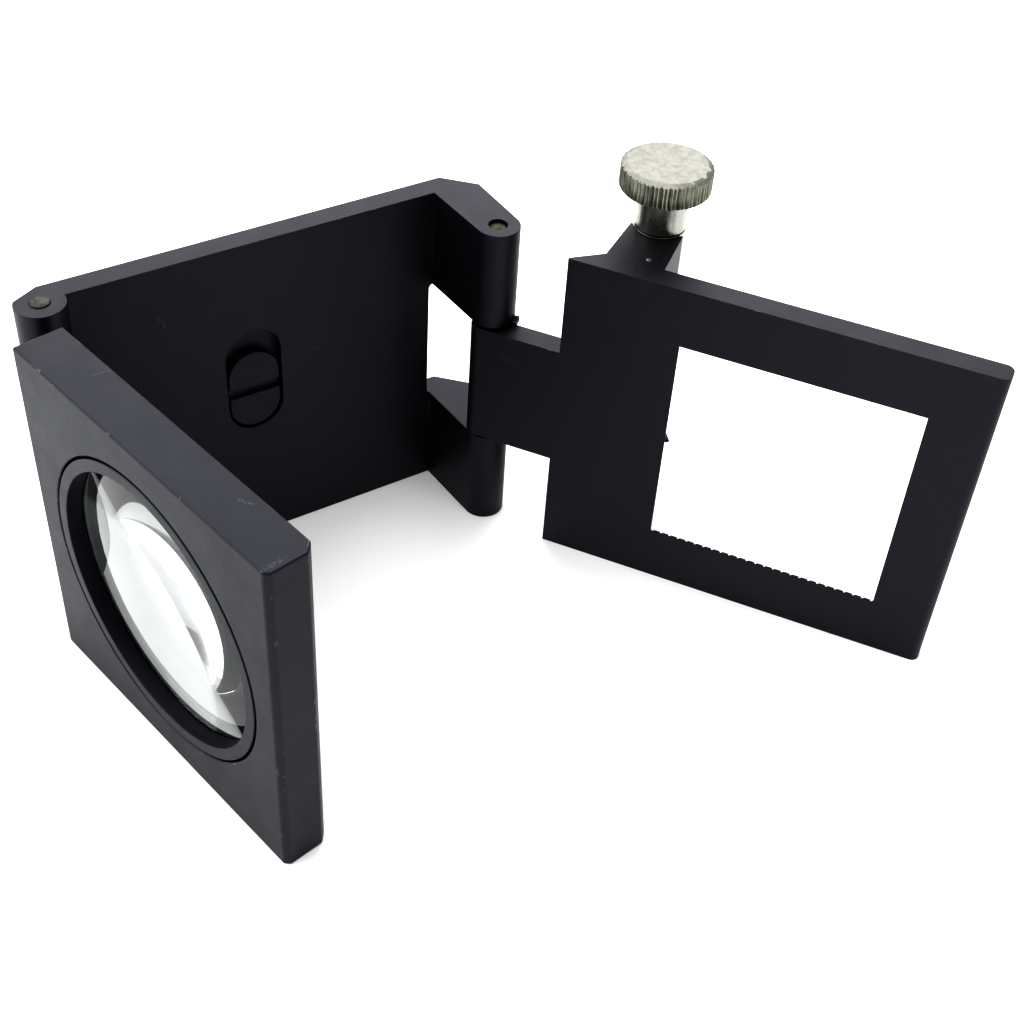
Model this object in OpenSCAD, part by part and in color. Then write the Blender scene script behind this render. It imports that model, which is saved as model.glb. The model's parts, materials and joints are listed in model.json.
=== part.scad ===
// Folding counting loupe with a ruled one-inch window and a screw-driven index.
// Three flat metal leaves turn about two upright pins. It stands here on their
// side edges, part way open. The origin is the middle of the back plate's foot,
// +X runs along the plate to its two arms, and -Y is the plate's inner side.

/* [Leaves] */
// Height of all three leaves, along the hinge pins
leaf_h = 38.7; // [34:0.1:44]
// Length of the back plate, over its knuckles and arms
plate_l = 50.2; // [48:0.1:60]
// Thickness of the back plate
plate_t = 2.5; // [2.3:0.1:3]
// Thickness of the lens leaf
panel_t = 5.2; // [5:0.1:6]
// Thickness of the base leaf
base_t = 2.6; // [2.4:0.1:3]
// Length of the base leaf without its tongue
base_l = 44.3; // [42:0.1:50]

/* [Pose] */
// Direction of the lens leaf from its pin, in degrees from +X
lens_turn = -79; // [-90:1:-70]
// Direction of the base leaf from its pin, in degrees from +X
base_turn = -55; // [-60:1:-45]

/* [Arms and hinges] */
// Thickness of the two arms where they leave the back plate
arm_t = 5.1; // [4.8:0.1:6]
// Radius of the arms' round ends
tip_r = 2.35; // [2.2:0.05:2.5]
// Reach of the arms, from the plate's inner face to their round ends
arm_reach = 10.65; // [10.6:0.05:12]
// Flat cut across the outer corner between the plate and the arms
corner_cut = 3.1; // [2:0.1:3.2]
// Radius of the plate's knuckles at the lens leaf
knuckle_r = 2.5; // [2.4:0.1:2.8]
// Height of the gap between each pair of knuckles
gap_h = 15.2; // [12:0.1:18]
// Height of the gaps' middle above the middle of the leaves
gap_rise = 0.3; // [0:0.1:0.5]
// Radius of both hinge pins
pin_r = 1; // [0.8:0.05:1.1]
// Distance from the base leaf's pin to the leaf's hinge end
base_neck = 8.7; // [8.4:0.1:9.5]
// Distance from the lens leaf's pin to the leaf's hinge end
lens_neck = 4.5; // [4.2:0.1:4.8]

/* [Lens] */
// Radius of the round seam where the retaining ring meets the leaf
ring_r = 15.8; // [15.6:0.1:16.4]
// Clear radius inside the retaining ring
bore_r = 14.3; // [13.5:0.1:14.4]
// Radius of the glass
glass_r = 15.2; // [15:0.1:15.5]
// Height of each curved face of the glass
glass_sag = 1.9; // [1:0.1:1.9]
// Thickness of the glass at its rim
glass_edge = 1; // [0.6:0.1:1]

/* [Window] */
// Side of the square counting window
window_w = 25.4; // [20:0.1:26]
// Distance from the base leaf's hinge end to the window
window_u = 12.6; // [12:0.1:14]
// Width of the sloping border round the window
slope_w = 3; // [2.4:0.1:3.2]
// Distance between ruled lines
rule_pitch = 1; // [1:0.5:5]

/* [Index screw] */
// Distance of the screw from the base leaf's hinge end
screw_u = 6.2; // [6:0.1:6.6]
// Distance of the screw from the base leaf's flat face
screw_w = 10.2; // [9.8:0.1:11]
// Outer radius of the guide tube
tube_r = 2.7; // [2.5:0.05:2.8]
// Radius of the knurled head
knob_r = 4.75; // [4.2:0.05:5.5]
// Height of the knurled head
knob_h = 2.75; // [2.4:0.05:4]
// Height of the collar under the head
collar_h = 4.3; // [3:0.1:6]
// Number of grooves in the knurled head
knurl_n = 64; // [24:2:72]
// Height of the index tip above the foot, at rest
tip_z = 19.35; // [12:0.05:26]

/* [Slide catch] */
// Width of the round-ended recess in the back plate
recess_w = 6.3; // [5.6:0.1:7]
// Length of the recess
recess_l = 12.8; // [11:0.1:14]
// Length of the sliding button
button_l = 9.5; // [8:0.1:9.8]

/* [Hidden] */
$fn = 96;

// Small gaps and overlaps
eps = 0.5; // a cutting shape runs this far past a face
fit = 0.03; // radial clearance of a turning fit
slack = 0.05; // clearance of a sliding face
notch_sides = 4; // a square rod, sunk to its middle, cuts a V groove

// Back plate
plate_x = plate_l / 2;
inner_y = -plate_t / 2;
outer_y = plate_t / 2;
arm_x = plate_x - arm_t;
gap_z = (leaf_h - gap_h) / 2 + gap_rise;
gap_round = 0.6; // round in the corners of the gap between the arms
gap_back = 0.4; // the gap runs this far into the plate
lens_sunk = 2.65; // depth of the lens leaf's pin below the plate's outer face
lens_axis = [knuckle_r - plate_x, outer_y - lens_sunk];
base_axis = [plate_x - tip_r, inner_y - arm_reach + tip_r];
flat_turn = 118; // direction of the flat on the lens knuckles
flat_r = 2.1; // distance of that flat from the pin
pin_proud = 0.15; // the lens pin stands out of its knuckles
pin_sunk = 0.25; // the base pin lies below the faces of its arms

// Washers and tongues
washer_t = 0.25;
washer_r = 1.8;
tab_w = 1.1; // the upper base washer has a small upturned tab
tab_t = 0.4;
tab_h = 0.9;
tab_turn = -49;
tongue_h = gap_h - 2 * (washer_t + slack);
tongue_z = gap_z + washer_t + slack;
lower_z = gap_z + slack / 2;
upper_z = gap_z + gap_h - washer_t - slack / 2;

// Lens leaf, modelled folded flat on the plate with its pin at the origin
leaf_back = -0.3; // the face that lies against the folded plate
leaf_front = leaf_back - panel_t;
panel_l = arm_x - lens_axis[0] - lens_neck - slack;
lens_barrel = 2.3;
stop_gap = 0.1;
stop_x = lens_axis[0] + knuckle_r + stop_gap; // edge of the plate between the knuckles
lens_u = lens_neck + panel_l / 2;
mid_z = leaf_h / 2;
ring_depth = 1.7;
ring_gap = 0.05;
glass_sunk = 2; // depth of the glass's rim behind the leaf's front face
glass_play = 0.3;
glass_front = leaf_front + glass_sunk;
seat_y = glass_front + glass_edge + glass_play; // shoulder that the glass rests on
shoulder_r = 14.2;
glass_curve = (glass_r * glass_r + glass_sag * glass_sag) / (2 * glass_sag);
glass_steps = 24; // points along each curved face
corner_front = 0.5;
corner_back = 1;

// Base leaf, modelled with its hinge end at X 0 and its flat face at Y 0
pin_w = 2.5; // distance of the pin from the flat face
base_barrel = 1.9;
barrel_round = 1.3; // rounded corner between the flat face and the end
tongue_root = 1; // overlap of the tongue with the leaf
land = 0.2; // blunt edge left along the bevels
end_bevel = 3;
end_round = 0.9;
window_z = (leaf_h - window_w) / 2;
rule_depth = 0.2;
rule_depth_fine = 0.12;
coarse_side = 3; // the slope at the foot of the window has the deeper grooves
rule_short = 1.6;
rule_long = 2.8;
rule_n = floor(window_w / rule_pitch);

// Lugs, tube and screw
lug_h = 6;
lug_root = 3.15; // half width of a lug where it meets the leaf
lug_tip = 2.85; // half width of a lug beside the tube
lug_w = 9.3;
saddle = 0.05;
tube_inner = 1.9;
tube_foot = 0.6;
tube_proud = 0.1;
tube_top = leaf_h + tube_proud;
tip_u = window_u + 0.2; // the index tip reaches just past the window's edge
tip_w = 0.4; // and stops this far off the work
slot_turn = atan2(tip_w - screw_w, tip_u - screw_u);
slot_w = 1.3;
travel = window_w / 2;
slot_z = tip_z - travel - slot_w / 2 - slack;
slot_l = 2 * travel + slot_w + 2 * slack;
plug_h = 1.6;
bush_h = 2.5;
screw_r = 1.1;
journal_r = 0.75;
spindle_r = 0.9;
spindle_in = 1.2; // the spindle runs this far up into the head
nut_r = 1.8;
nut_h = 4;
thrust_r = 2.3;
thrust_t = 0.15;
collar_z = tube_top + thrust_t;
head_z = collar_z + collar_h;
collar_r = 2.65;
knurl_deep = 0.25; // the knurling has deep and shallow grooves in turn
knurl_shallow = 0.15;
bevel_r = 0.65; // the bevel round the top of the head, across
bevel_h = 0.35; // and down
foot_bevel = 0.2;
knob_pin_r = 0.35;
knob_pin_turn = 100;
blade_t = 0.45;
blade_w = 1;
blade_in = 0.2; // depth of the blade's root in the nut
blade_even = 1; // the blade keeps its width this far out of the tube
tip_half = 0.15;
dowel_r = 0.28;
dowel_h = 1.5;
dowel_at = [7.3, 3.6];

// Slide catch
catch_x = -1.6;
recess_z = 15.4;
recess_deep = 1.2;
catch_play = 0.3;
button_w = recess_w - 2 * catch_play;
button_t = 1;
nail_w = 1.2;
nail_deep = 0.5;
web_t = 0.6; // plate left between the two recesses
seat = inner_y + recess_deep; // floor of the recess
web_y = seat + web_t;
button_y = seat - button_t;
stem_w = 2.8;
stem_l = 3;
catch_travel = recess_l - button_l - 2 * catch_play;
retainer_t = 0.45;
rivet_r = 0.7;
rivet_head_r = 1.4;
rivet_head_t = 0.2;

// Place a shape that is drawn about a pin, at its turn in the row's frame
module about_pin(axis, turn) {
  translate([axis[0], axis[1], 0])
    rotate([0, 0, turn])
      children();
}

module lens_side() {
  about_pin(lens_axis, lens_turn)
    children();
}

module base_side() {
  about_pin(base_axis, base_turn)
    translate([base_neck, -pin_w, 0])
      children();
}

// Round-ended outline along Y, from the origin upwards
module obround(w, l) {
  translate([0, w / 2])
    circle(d = w);
  translate([0, l - w / 2])
    circle(d = w);
  translate([-w / 2, w / 2])
    square([w, l - w]);
}

// Round-ended pocket that runs from Y y0 to y1
module obround_block(w, l, y0, y1) {
  translate([0, y1, 0])
    rotate([90, 0, 0])
      linear_extrude(y1 - y0)
        obround(w, l);
}

// Cylinder along +Y from y0 to y1
module y_rod(r, y0, y1) {
  translate([0, y0, 0])
    rotate([-90, 0, 0])
      cylinder(r = r, h = y1 - y0);
}

module washer(r, hole, t) {
  difference() {
    cylinder(r = r, h = t);
    translate([0, 0, -eps])
      cylinder(r = hole, h = t + 2 * eps);
  }
}

// Where a line from an outside point touches a circle about the origin
function tangent(p, r, side) =
  let (turn = atan2(p[1], p[0]) + side * acos(r / norm(p)))
    r * [cos(turn), sin(turn)];

// Outline of one arm, seen from above, which narrows towards its round end
module arm_outline() {
  root = [arm_x, inner_y];
  translate([base_axis[0], base_axis[1]])
    circle(r = tip_r);
  polygon([
    [arm_x, outer_y],
    [plate_x, outer_y],
    [plate_x, base_axis[1]],
    base_axis + tangent(root - base_axis, tip_r, 1),
    root,
  ]);
}

// Slab that opens the gap between the arms, with round corners towards the plate
module arm_gap() {
  translate([arm_x - gap_back, inner_y - arm_reach - eps, gap_z]) {
    translate([gap_round, 0, 0])
      cube([arm_t + gap_back + eps, arm_reach + plate_t + 2 * eps, gap_h]);
    translate([0, 0, gap_round])
      cube([gap_round + eps, arm_reach + plate_t + 2 * eps, gap_h - 2 * gap_round]);
    for (z = [gap_round, gap_h - gap_round])
      translate([gap_round, 0, z])
        rotate([-90, 0, 0])
          cylinder(r = gap_round, h = arm_reach + plate_t + 2 * eps);
  }
}

module back_plate() {
  color("#1b1c20")
    difference() {
      union() {
        translate([lens_axis[0], inner_y, 0])
          cube([plate_x - lens_axis[0], plate_t, leaf_h]);
        linear_extrude(leaf_h)
          arm_outline();
        translate([lens_axis[0], lens_axis[1], 0])
          cylinder(r = knuckle_r, h = leaf_h);
      }
      arm_gap();
      translate([-plate_x - eps, lens_axis[1] - knuckle_r - eps, gap_z])
        cube([stop_x + plate_x + eps, 2 * knuckle_r + 2 * eps, gap_h]);
      translate([plate_x, outer_y, -eps])
        linear_extrude(leaf_h + 2 * eps)
          polygon([[eps, -corner_cut - eps], [eps, eps], [-corner_cut - eps, eps]]);
      about_pin(lens_axis, flat_turn)
        translate([flat_r, -knuckle_r, -eps])
          cube([knuckle_r, 2 * knuckle_r, leaf_h + 2 * eps]);
      for (axis = [lens_axis, base_axis])
        translate([axis[0], axis[1], -eps])
          cylinder(r = pin_r, h = leaf_h + 2 * eps);
      translate([catch_x, 0, recess_z]) {
        obround_block(recess_w, recess_l, inner_y - eps, seat);
        obround_block(recess_w, recess_l, web_y, outer_y + eps);
        translate([0, 0, catch_play / 2 + (button_l - stem_l) / 2])
          obround_block(stem_w + 2 * slack, stem_l + catch_travel + catch_play, inner_y, outer_y);
      }
    }
}

module hinge_pin(axis, out) {
  translate([axis[0], axis[1], -min(out, 0)])
    cylinder(r = pin_r, h = leaf_h + min(out, 0) + out);
}

module lens_hinge_pin() {
  color("#8b8c86")
    hinge_pin(lens_axis, pin_proud);
}

module base_hinge_pin() {
  color("#6e6b58")
    hinge_pin(base_axis, -pin_sunk);
}

module hinge_washer(axis, z) {
  translate([axis[0], axis[1], z])
    washer(washer_r, pin_r + fit, washer_t);
}

module lens_washer_upper() {
  color("#77777a")
    hinge_washer(lens_axis, upper_z);
}

module lens_washer_lower() {
  color("#77777a")
    hinge_washer(lens_axis, lower_z);
}

// Outline of the tab, with a round top
module tab_outline() {
  intersection() {
    translate([0, tab_h - tab_w / 2])
      circle(d = tab_w);
    translate([-tab_w / 2, 0])
      square([tab_w, tab_h]);
  }
  translate([-tab_w / 2, 0])
    square([tab_w, tab_h - tab_w / 2]);
}

module base_washer_upper() {
  color("#77777a") {
    hinge_washer(base_axis, upper_z);
    about_pin(base_axis, tab_turn)
      translate([washer_r - slack, -tab_w / 2, upper_z])
        cube([tip_r - washer_r + tab_t + 2 * slack, tab_w, washer_t]);
    about_pin(base_axis, tab_turn)
      translate([tip_r + slack, 0, upper_z])
        rotate([90, 0, 90])
          linear_extrude(tab_t)
            tab_outline();
  }
}

module base_washer_lower() {
  color("#77777a")
    hinge_washer(base_axis, lower_z);
}

// Outline of the lens leaf, seen from above, with its free corners taken off
module lens_outline() {
  end_u = lens_neck + panel_l;
  polygon([
    [lens_neck, leaf_front],
    [end_u - corner_front, leaf_front],
    [end_u, leaf_front + corner_front],
    [end_u, leaf_back - corner_back],
    [end_u - corner_back, leaf_back],
    [lens_neck, leaf_back],
  ]);
}

module lens_panel() {
  color("#26272b")
    lens_side()
      difference() {
        union() {
          linear_extrude(leaf_h)
            lens_outline();
          translate([0, -lens_barrel, tongue_z])
            cube([lens_neck + eps, lens_barrel + leaf_back, tongue_h]);
          translate([0, 0, tongue_z])
            cylinder(r = lens_barrel, h = tongue_h);
        }
        translate([0, 0, tongue_z - eps])
          cylinder(r = pin_r + fit, h = tongue_h + 2 * eps);
        translate([lens_u, 0, mid_z]) {
          y_rod(ring_r + ring_gap, leaf_front - eps, leaf_front + ring_depth);
          y_rod(glass_r + ring_gap, leaf_front, seat_y);
          y_rod(shoulder_r, leaf_front, leaf_back + eps);
        }
      }
}

// Height of the curved face above the rim, at a distance from the lens's axis
function dome(r) = sqrt(glass_curve * glass_curve - r * r) - glass_curve + glass_sag;

module glass_lens() {
  steps = [0 : glass_steps];
  color([0.85, 0.92, 0.93, 0.5])
    lens_side()
      translate([lens_u, glass_front, mid_z])
        rotate([-90, 0, 0])
          rotate_extrude()
            polygon(concat(
              [for (i = steps) [glass_r * i / glass_steps, -dome(glass_r * i / glass_steps)]],
              [for (i = steps)
                [glass_r * (1 - i / glass_steps), glass_edge + dome(glass_r * (1 - i / glass_steps))]]
            ));
}

module retaining_ring() {
  color("#2d2e33")
    lens_side()
      translate([lens_u, 0, mid_z])
        difference() {
          y_rod(ring_r, leaf_front, leaf_front + ring_depth);
          y_rod(bore_r, leaf_front - eps, leaf_front + ring_depth + eps);
        }
}

// Outline of the base leaf, seen from above
module base_outline() {
  polygon([
    [0, 0],
    [base_l - end_round, 0],
    [base_l - end_round, base_t],
    [end_bevel, base_t],
    [0, land],
  ]);
  for (w = [end_round, base_t - end_round])
    translate([base_l - end_round, w])
      circle(r = end_round);
  translate([base_l - end_round, end_round])
    square([end_round, base_t - 2 * end_round]);
}

// Outline of the tongue about its pin, with a rounded corner from the flat face
module tongue_outline() {
  hull() {
    translate([barrel_round - base_barrel, barrel_round - pin_w])
      circle(r = barrel_round);
    circle(r = base_barrel);
    translate([0, -pin_w])
      square([base_barrel, base_t]);
  }
  translate([0, -pin_w])
    square([base_neck + tongue_root, base_t]);
}

// Tapered hole of the window: square at the flat face, wider at the other
module window_cut() {
  intersection() {
    translate([0, 0, window_z - slope_w - eps])
      linear_extrude(window_w + 2 * slope_w + 2 * eps)
        window_section(window_u);
    translate([window_u - slope_w - eps, 0, 0])
      rotate([90, 0, 90])
        linear_extrude(window_w + 2 * slope_w + 2 * eps)
          mirror([1, -1])
            window_section(window_z);
  }
}

// Section of the tapered hole, which starts at u0 along the leaf
module window_section(u0) {
  reach = slope_w * (base_t + eps - land) / (base_t - land);
  polygon([
    [u0, -eps],
    [u0 + window_w, -eps],
    [u0 + window_w, land],
    [u0 + window_w + reach, base_t + eps],
    [u0 - reach, base_t + eps],
    [u0, land],
  ]);
}

// One ruled groove, which runs from the window's edge up the slope along -X
module groove(depth, length) {
  rotate([0, atan2(base_t - land, slope_w), 0])
    translate([eps, 0, 0])
      rotate([0, -90, 0])
        cylinder(r = depth, h = length + eps, $fn = notch_sides);
}

// A row of grooves along +Y, every fifth one longer
module rule(depth) {
  for (i = [0 : rule_n])
    translate([0, i * rule_pitch, 0])
      groove(depth, i % 5 == 0 ? rule_long : rule_short);
}

// The rows on the four slopes, in the window's own plane with +Z off the leaf
module rules() {
  span = rule_n * rule_pitch;
  half = window_w / 2;
  for (side = [0 : 3])
    rotate([0, 0, 90 * side])
      translate([-half, -span / 2, 0])
        rule(side == coarse_side ? rule_depth : rule_depth_fine);
}

module lug() {
  linear_extrude(lug_h)
    difference() {
      polygon([
        [screw_u - lug_root, base_t - eps],
        [screw_u + lug_root, base_t - eps],
        [screw_u + lug_tip, lug_w],
        [screw_u - lug_tip, lug_w],
      ]);
      translate([screw_u, screw_w])
        circle(r = tube_r + saddle);
    }
}

module base_frame() {
  color("#1d1e22")
    base_side()
      difference() {
        union() {
          linear_extrude(leaf_h)
            base_outline();
          translate([-base_neck, pin_w, tongue_z])
            linear_extrude(tongue_h)
              tongue_outline();
          for (z = [0, leaf_h - lug_h])
            translate([0, 0, z])
              lug();
        }
        translate([-base_neck, pin_w, tongue_z - eps])
          cylinder(r = pin_r + fit, h = tongue_h + 2 * eps);
        window_cut();
        translate([window_u + window_w / 2, land, mid_z])
          rotate([-90, 0, 0])
            rules();
        translate([dowel_at[0], dowel_at[1], leaf_h - dowel_h])
          cylinder(r = dowel_r, h = dowel_h + eps);
      }
}

module lug_dowel() {
  color("#9a9a96")
    base_side()
      translate([dowel_at[0], dowel_at[1], leaf_h - dowel_h])
        cylinder(r = dowel_r, h = dowel_h);
}

// Place a shape about the index screw's own line
module on_screw(z) {
  base_side()
    translate([screw_u, screw_w, z])
      children();
}

module guide_tube() {
  color("#c9c9c4")
    on_screw(0)
      difference() {
        translate([0, 0, tube_foot])
          cylinder(r = tube_r, h = tube_top - tube_foot);
        translate([0, 0, tube_foot - eps])
          cylinder(r = tube_inner, h = leaf_h + 2 * eps);
        rotate([0, 0, slot_turn])
          translate([0, -slot_w / 2, slot_z])
            cube([tube_r + eps, slot_w, slot_l]);
      }
}

module tube_end_plug() {
  color("#b5a46a")
    on_screw(tube_foot)
      washer(tube_inner, journal_r + fit, plug_h);
}

module tube_bush() {
  color("#b5a46a")
    on_screw(tube_top - bush_h)
      washer(tube_inner, spindle_r + fit, bush_h);
}

module index_screw() {
  foot = tube_foot + plug_h + slack;
  shoulder = tube_top - bush_h - slack;
  color("#b9b9b4")
    on_screw(0) {
      translate([0, 0, tube_foot])
        cylinder(r = journal_r, h = plug_h + slack + eps);
      translate([0, 0, foot])
        cylinder(r = screw_r, h = shoulder - foot);
      translate([0, 0, shoulder - eps])
        cylinder(r = spindle_r, h = head_z + spindle_in - shoulder + eps);
    }
}

module thrust_washer() {
  color("#a8a8a2")
    on_screw(tube_top + slack / 2)
      washer(thrust_r, spindle_r + fit, thrust_t - slack);
}

module knob() {
  color("#d4d4ce")
    on_screw(0)
      difference() {
        union() {
          translate([0, 0, collar_z])
            cylinder(r = collar_r, h = collar_h + eps);
          intersection() {
            translate([0, 0, head_z])
              linear_extrude(knob_h)
                difference() {
                  circle(r = knob_r);
                  for (i = [0 : knurl_n - 1])
                    rotate(360 / knurl_n * i)
                      translate([knob_r, 0])
                        circle(r = i % 2 == 0 ? knurl_deep : knurl_shallow, $fn = notch_sides);
                }
            translate([0, 0, head_z])
              rotate_extrude()
                polygon([
                  [0, 0],
                  [knob_r - foot_bevel, 0],
                  [knob_r + eps, foot_bevel + eps],
                  [knob_r + eps, knob_h - bevel_h * (1 + eps / bevel_r)],
                  [knob_r - bevel_r, knob_h],
                  [0, knob_h],
                ]);
          }
        }
        translate([0, 0, collar_z - eps])
          cylinder(r = spindle_r, h = head_z + spindle_in - collar_z + eps);
        translate([0, 0, collar_z + collar_h / 2])
          rotate([0, 90, knob_pin_turn])
            cylinder(r = knob_pin_r, h = collar_r + eps);
      }
}

module knob_pin() {
  color("#8f8f8a")
    on_screw(collar_z + collar_h / 2)
      rotate([0, 90, knob_pin_turn])
        translate([0, 0, spindle_r])
          cylinder(r = knob_pin_r, h = collar_r - spindle_r - slack);
}

module index_nut() {
  color("#b5a46a")
    on_screw(tip_z - nut_h / 2)
      washer(nut_r, screw_r + fit, nut_h);
}

// Tapered blade that leans from the nut down to the edge of the window
module index_pointer() {
  reach = norm([tip_u - screw_u, tip_w - screw_w]);
  root = nut_r - blade_in;
  color("#55565a")
    on_screw(tip_z)
      rotate([0, 0, slot_turn])
        rotate([90, 0, 0])
          translate([0, 0, -blade_t / 2])
            linear_extrude(blade_t)
              polygon([
                [root, -blade_w / 2],
                [tube_r + blade_even, -blade_w / 2],
                [reach, -tip_half],
                [reach, tip_half],
                [tube_r + blade_even, blade_w / 2],
                [root, blade_w / 2],
              ]);
}

// Place a shape on the catch, at rest at the low end of its recess
module on_catch() {
  translate([catch_x, 0, recess_z + catch_play])
    children();
}

module slide_catch() {
  color("#232429")
    on_catch()
      difference() {
        union() {
          obround_block(button_w, button_l, button_y, seat - slack);
          translate([0, 0, (button_l - stem_l) / 2])
            obround_block(stem_w, stem_l, seat - eps, web_y + slack);
        }
        translate([-recess_w, inner_y, (button_l - nail_w) / 2])
          cube([2 * recess_w, button_y - inner_y + nail_deep, nail_w]);
        translate([0, 0, button_l / 2])
          y_rod(rivet_r, button_y + nail_deep, outer_y);
      }
}

module catch_retainer() {
  color("#3a3b40")
    on_catch()
      difference() {
        obround_block(button_w, button_l, web_y + slack, web_y + slack + retainer_t);
        translate([0, 0, button_l / 2])
          y_rod(rivet_r, seat, outer_y + eps);
      }
}

module catch_rivet() {
  face = web_y + slack + retainer_t;
  color("#7c7d80")
    on_catch()
      translate([0, 0, button_l / 2]) {
        y_rod(rivet_r, button_y + nail_deep, face + rivet_head_t);
        y_rod(rivet_head_r, face, face + rivet_head_t);
      }
}

back_plate();
lens_hinge_pin();
base_hinge_pin();
lens_washer_upper();
lens_washer_lower();
base_washer_upper();
base_washer_lower();
lens_panel();
glass_lens();
retaining_ring();
base_frame();
lug_dowel();
guide_tube();
tube_end_plug();
tube_bush();
index_screw();
knob();
knob_pin();
thrust_washer();
index_nut();
index_pointer();
slide_catch();
catch_retainer();
catch_rivet();
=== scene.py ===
"""Folding counting loupe: the looks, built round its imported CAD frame.

The row frame is in metres. +X runs along the back plate from the lens leaf's
pin to the two arms, +Y leaves the plate's outer face, and +Z runs up both
hinge pins. The loupe stands on the side edges of its three leaves.
"""

import json
import logging
import math
from collections.abc import Callable, Sequence
from dataclasses import dataclass
from enum import Enum
from typing import Any

import bmesh
import bpy
from mathutils import Matrix, Vector


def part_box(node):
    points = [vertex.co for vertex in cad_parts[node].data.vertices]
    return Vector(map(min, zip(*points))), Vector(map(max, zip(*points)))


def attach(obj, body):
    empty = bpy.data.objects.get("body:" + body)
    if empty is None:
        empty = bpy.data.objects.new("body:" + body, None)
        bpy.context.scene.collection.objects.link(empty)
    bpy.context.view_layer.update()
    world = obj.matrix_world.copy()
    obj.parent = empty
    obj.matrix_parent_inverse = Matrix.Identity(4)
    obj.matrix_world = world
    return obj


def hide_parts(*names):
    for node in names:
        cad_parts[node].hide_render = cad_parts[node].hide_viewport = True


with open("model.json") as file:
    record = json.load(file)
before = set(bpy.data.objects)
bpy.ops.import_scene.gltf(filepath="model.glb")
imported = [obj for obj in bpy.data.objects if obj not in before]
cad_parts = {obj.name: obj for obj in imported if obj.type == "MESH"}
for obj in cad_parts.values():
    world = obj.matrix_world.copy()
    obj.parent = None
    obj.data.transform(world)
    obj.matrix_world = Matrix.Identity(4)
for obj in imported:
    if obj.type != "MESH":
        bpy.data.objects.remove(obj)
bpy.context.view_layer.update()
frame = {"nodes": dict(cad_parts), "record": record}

MM = 0.001
MERGE_M = 1e-6  # corners closer than this are one, in a mesh in metres
MERGE_MM = 1e-4  # the same in a mesh that is still in millimetres
MIX_FACTOR, MIX_FIRST, MIX_SECOND = 0, 6, 7  # inputs of a Mix node that mixes colours
log = logging.getLogger("loupe")


# ---------------------------------------------------------------- small helpers


def linear(colour: str) -> tuple[float, float, float, float]:
    """Turns an sRGB hex colour into the linear colour that shaders take.

    Args:
        colour: the colour, such as "#1b1c20".

    Returns:
        Linear red, green and blue, and an alpha of 1.
    """
    parts = [int(colour[i : i + 2], 16) / 255 for i in (1, 3, 5)]
    low = [c / 12.92 if c <= 0.04045 else ((c + 0.055) / 1.055) ** 2.4 for c in parts]
    return (low[0], low[1], low[2], 1.0)


def per(size_mm: float) -> float:
    """Gives the texture scale whose features are size_mm across."""
    return 1 / (size_mm * MM)


def add(
    tree: bpy.types.NodeTree,
    kind: str,
    values: dict[Any, Any] | None = None,
    **settings: Any,
) -> bpy.types.Node:
    """Adds one node with its settings, its constants and its links.

    Args:
        tree: the node tree that gets the node.
        kind: the node's type, such as "ShaderNodeBump".
        values: an input's name or index, with a number or a socket to link.
        settings: the node's own properties.

    Returns:
        The new node.
    """
    node = tree.nodes.new(kind)
    for key, value in settings.items():
        setattr(node, key, value)
    for key, value in (values or {}).items():
        if isinstance(value, bpy.types.NodeSocket):
            tree.links.new(value, node.inputs[key])
        else:
            node.inputs[key].default_value = value
    return node


# -------------------------------------------------------------------- finishes


@dataclass(frozen=True)
class Mark:
    """A scuff at one place on a surface, as a handled object picks up.

    at: its middle in the row frame, in millimetres.
    half: its half size along its own three axes, in millimetres.
    turn: how its own axes are turned, in degrees.
    """

    at: tuple[float, float, float]
    half: tuple[float, float, float]
    turn: tuple[float, float, float] = (0.0, 0.0, 0.0)


@dataclass(frozen=True)
class Finish:
    """A surface finish, which knows how to make its material once."""

    name: str

    def material(self) -> bpy.types.Material:
        """Gives the finish's material, made at the first call."""
        found = bpy.data.materials.get(self.name)
        if found:
            return found
        made = bpy.data.materials.new(self.name)
        made.use_nodes = True
        made.node_tree.nodes.clear()
        self.paint(made.node_tree)
        return made

    def paint(self, tree: bpy.types.NodeTree) -> None:
        """Fills the material's node tree."""
        raise NotImplementedError


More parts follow.
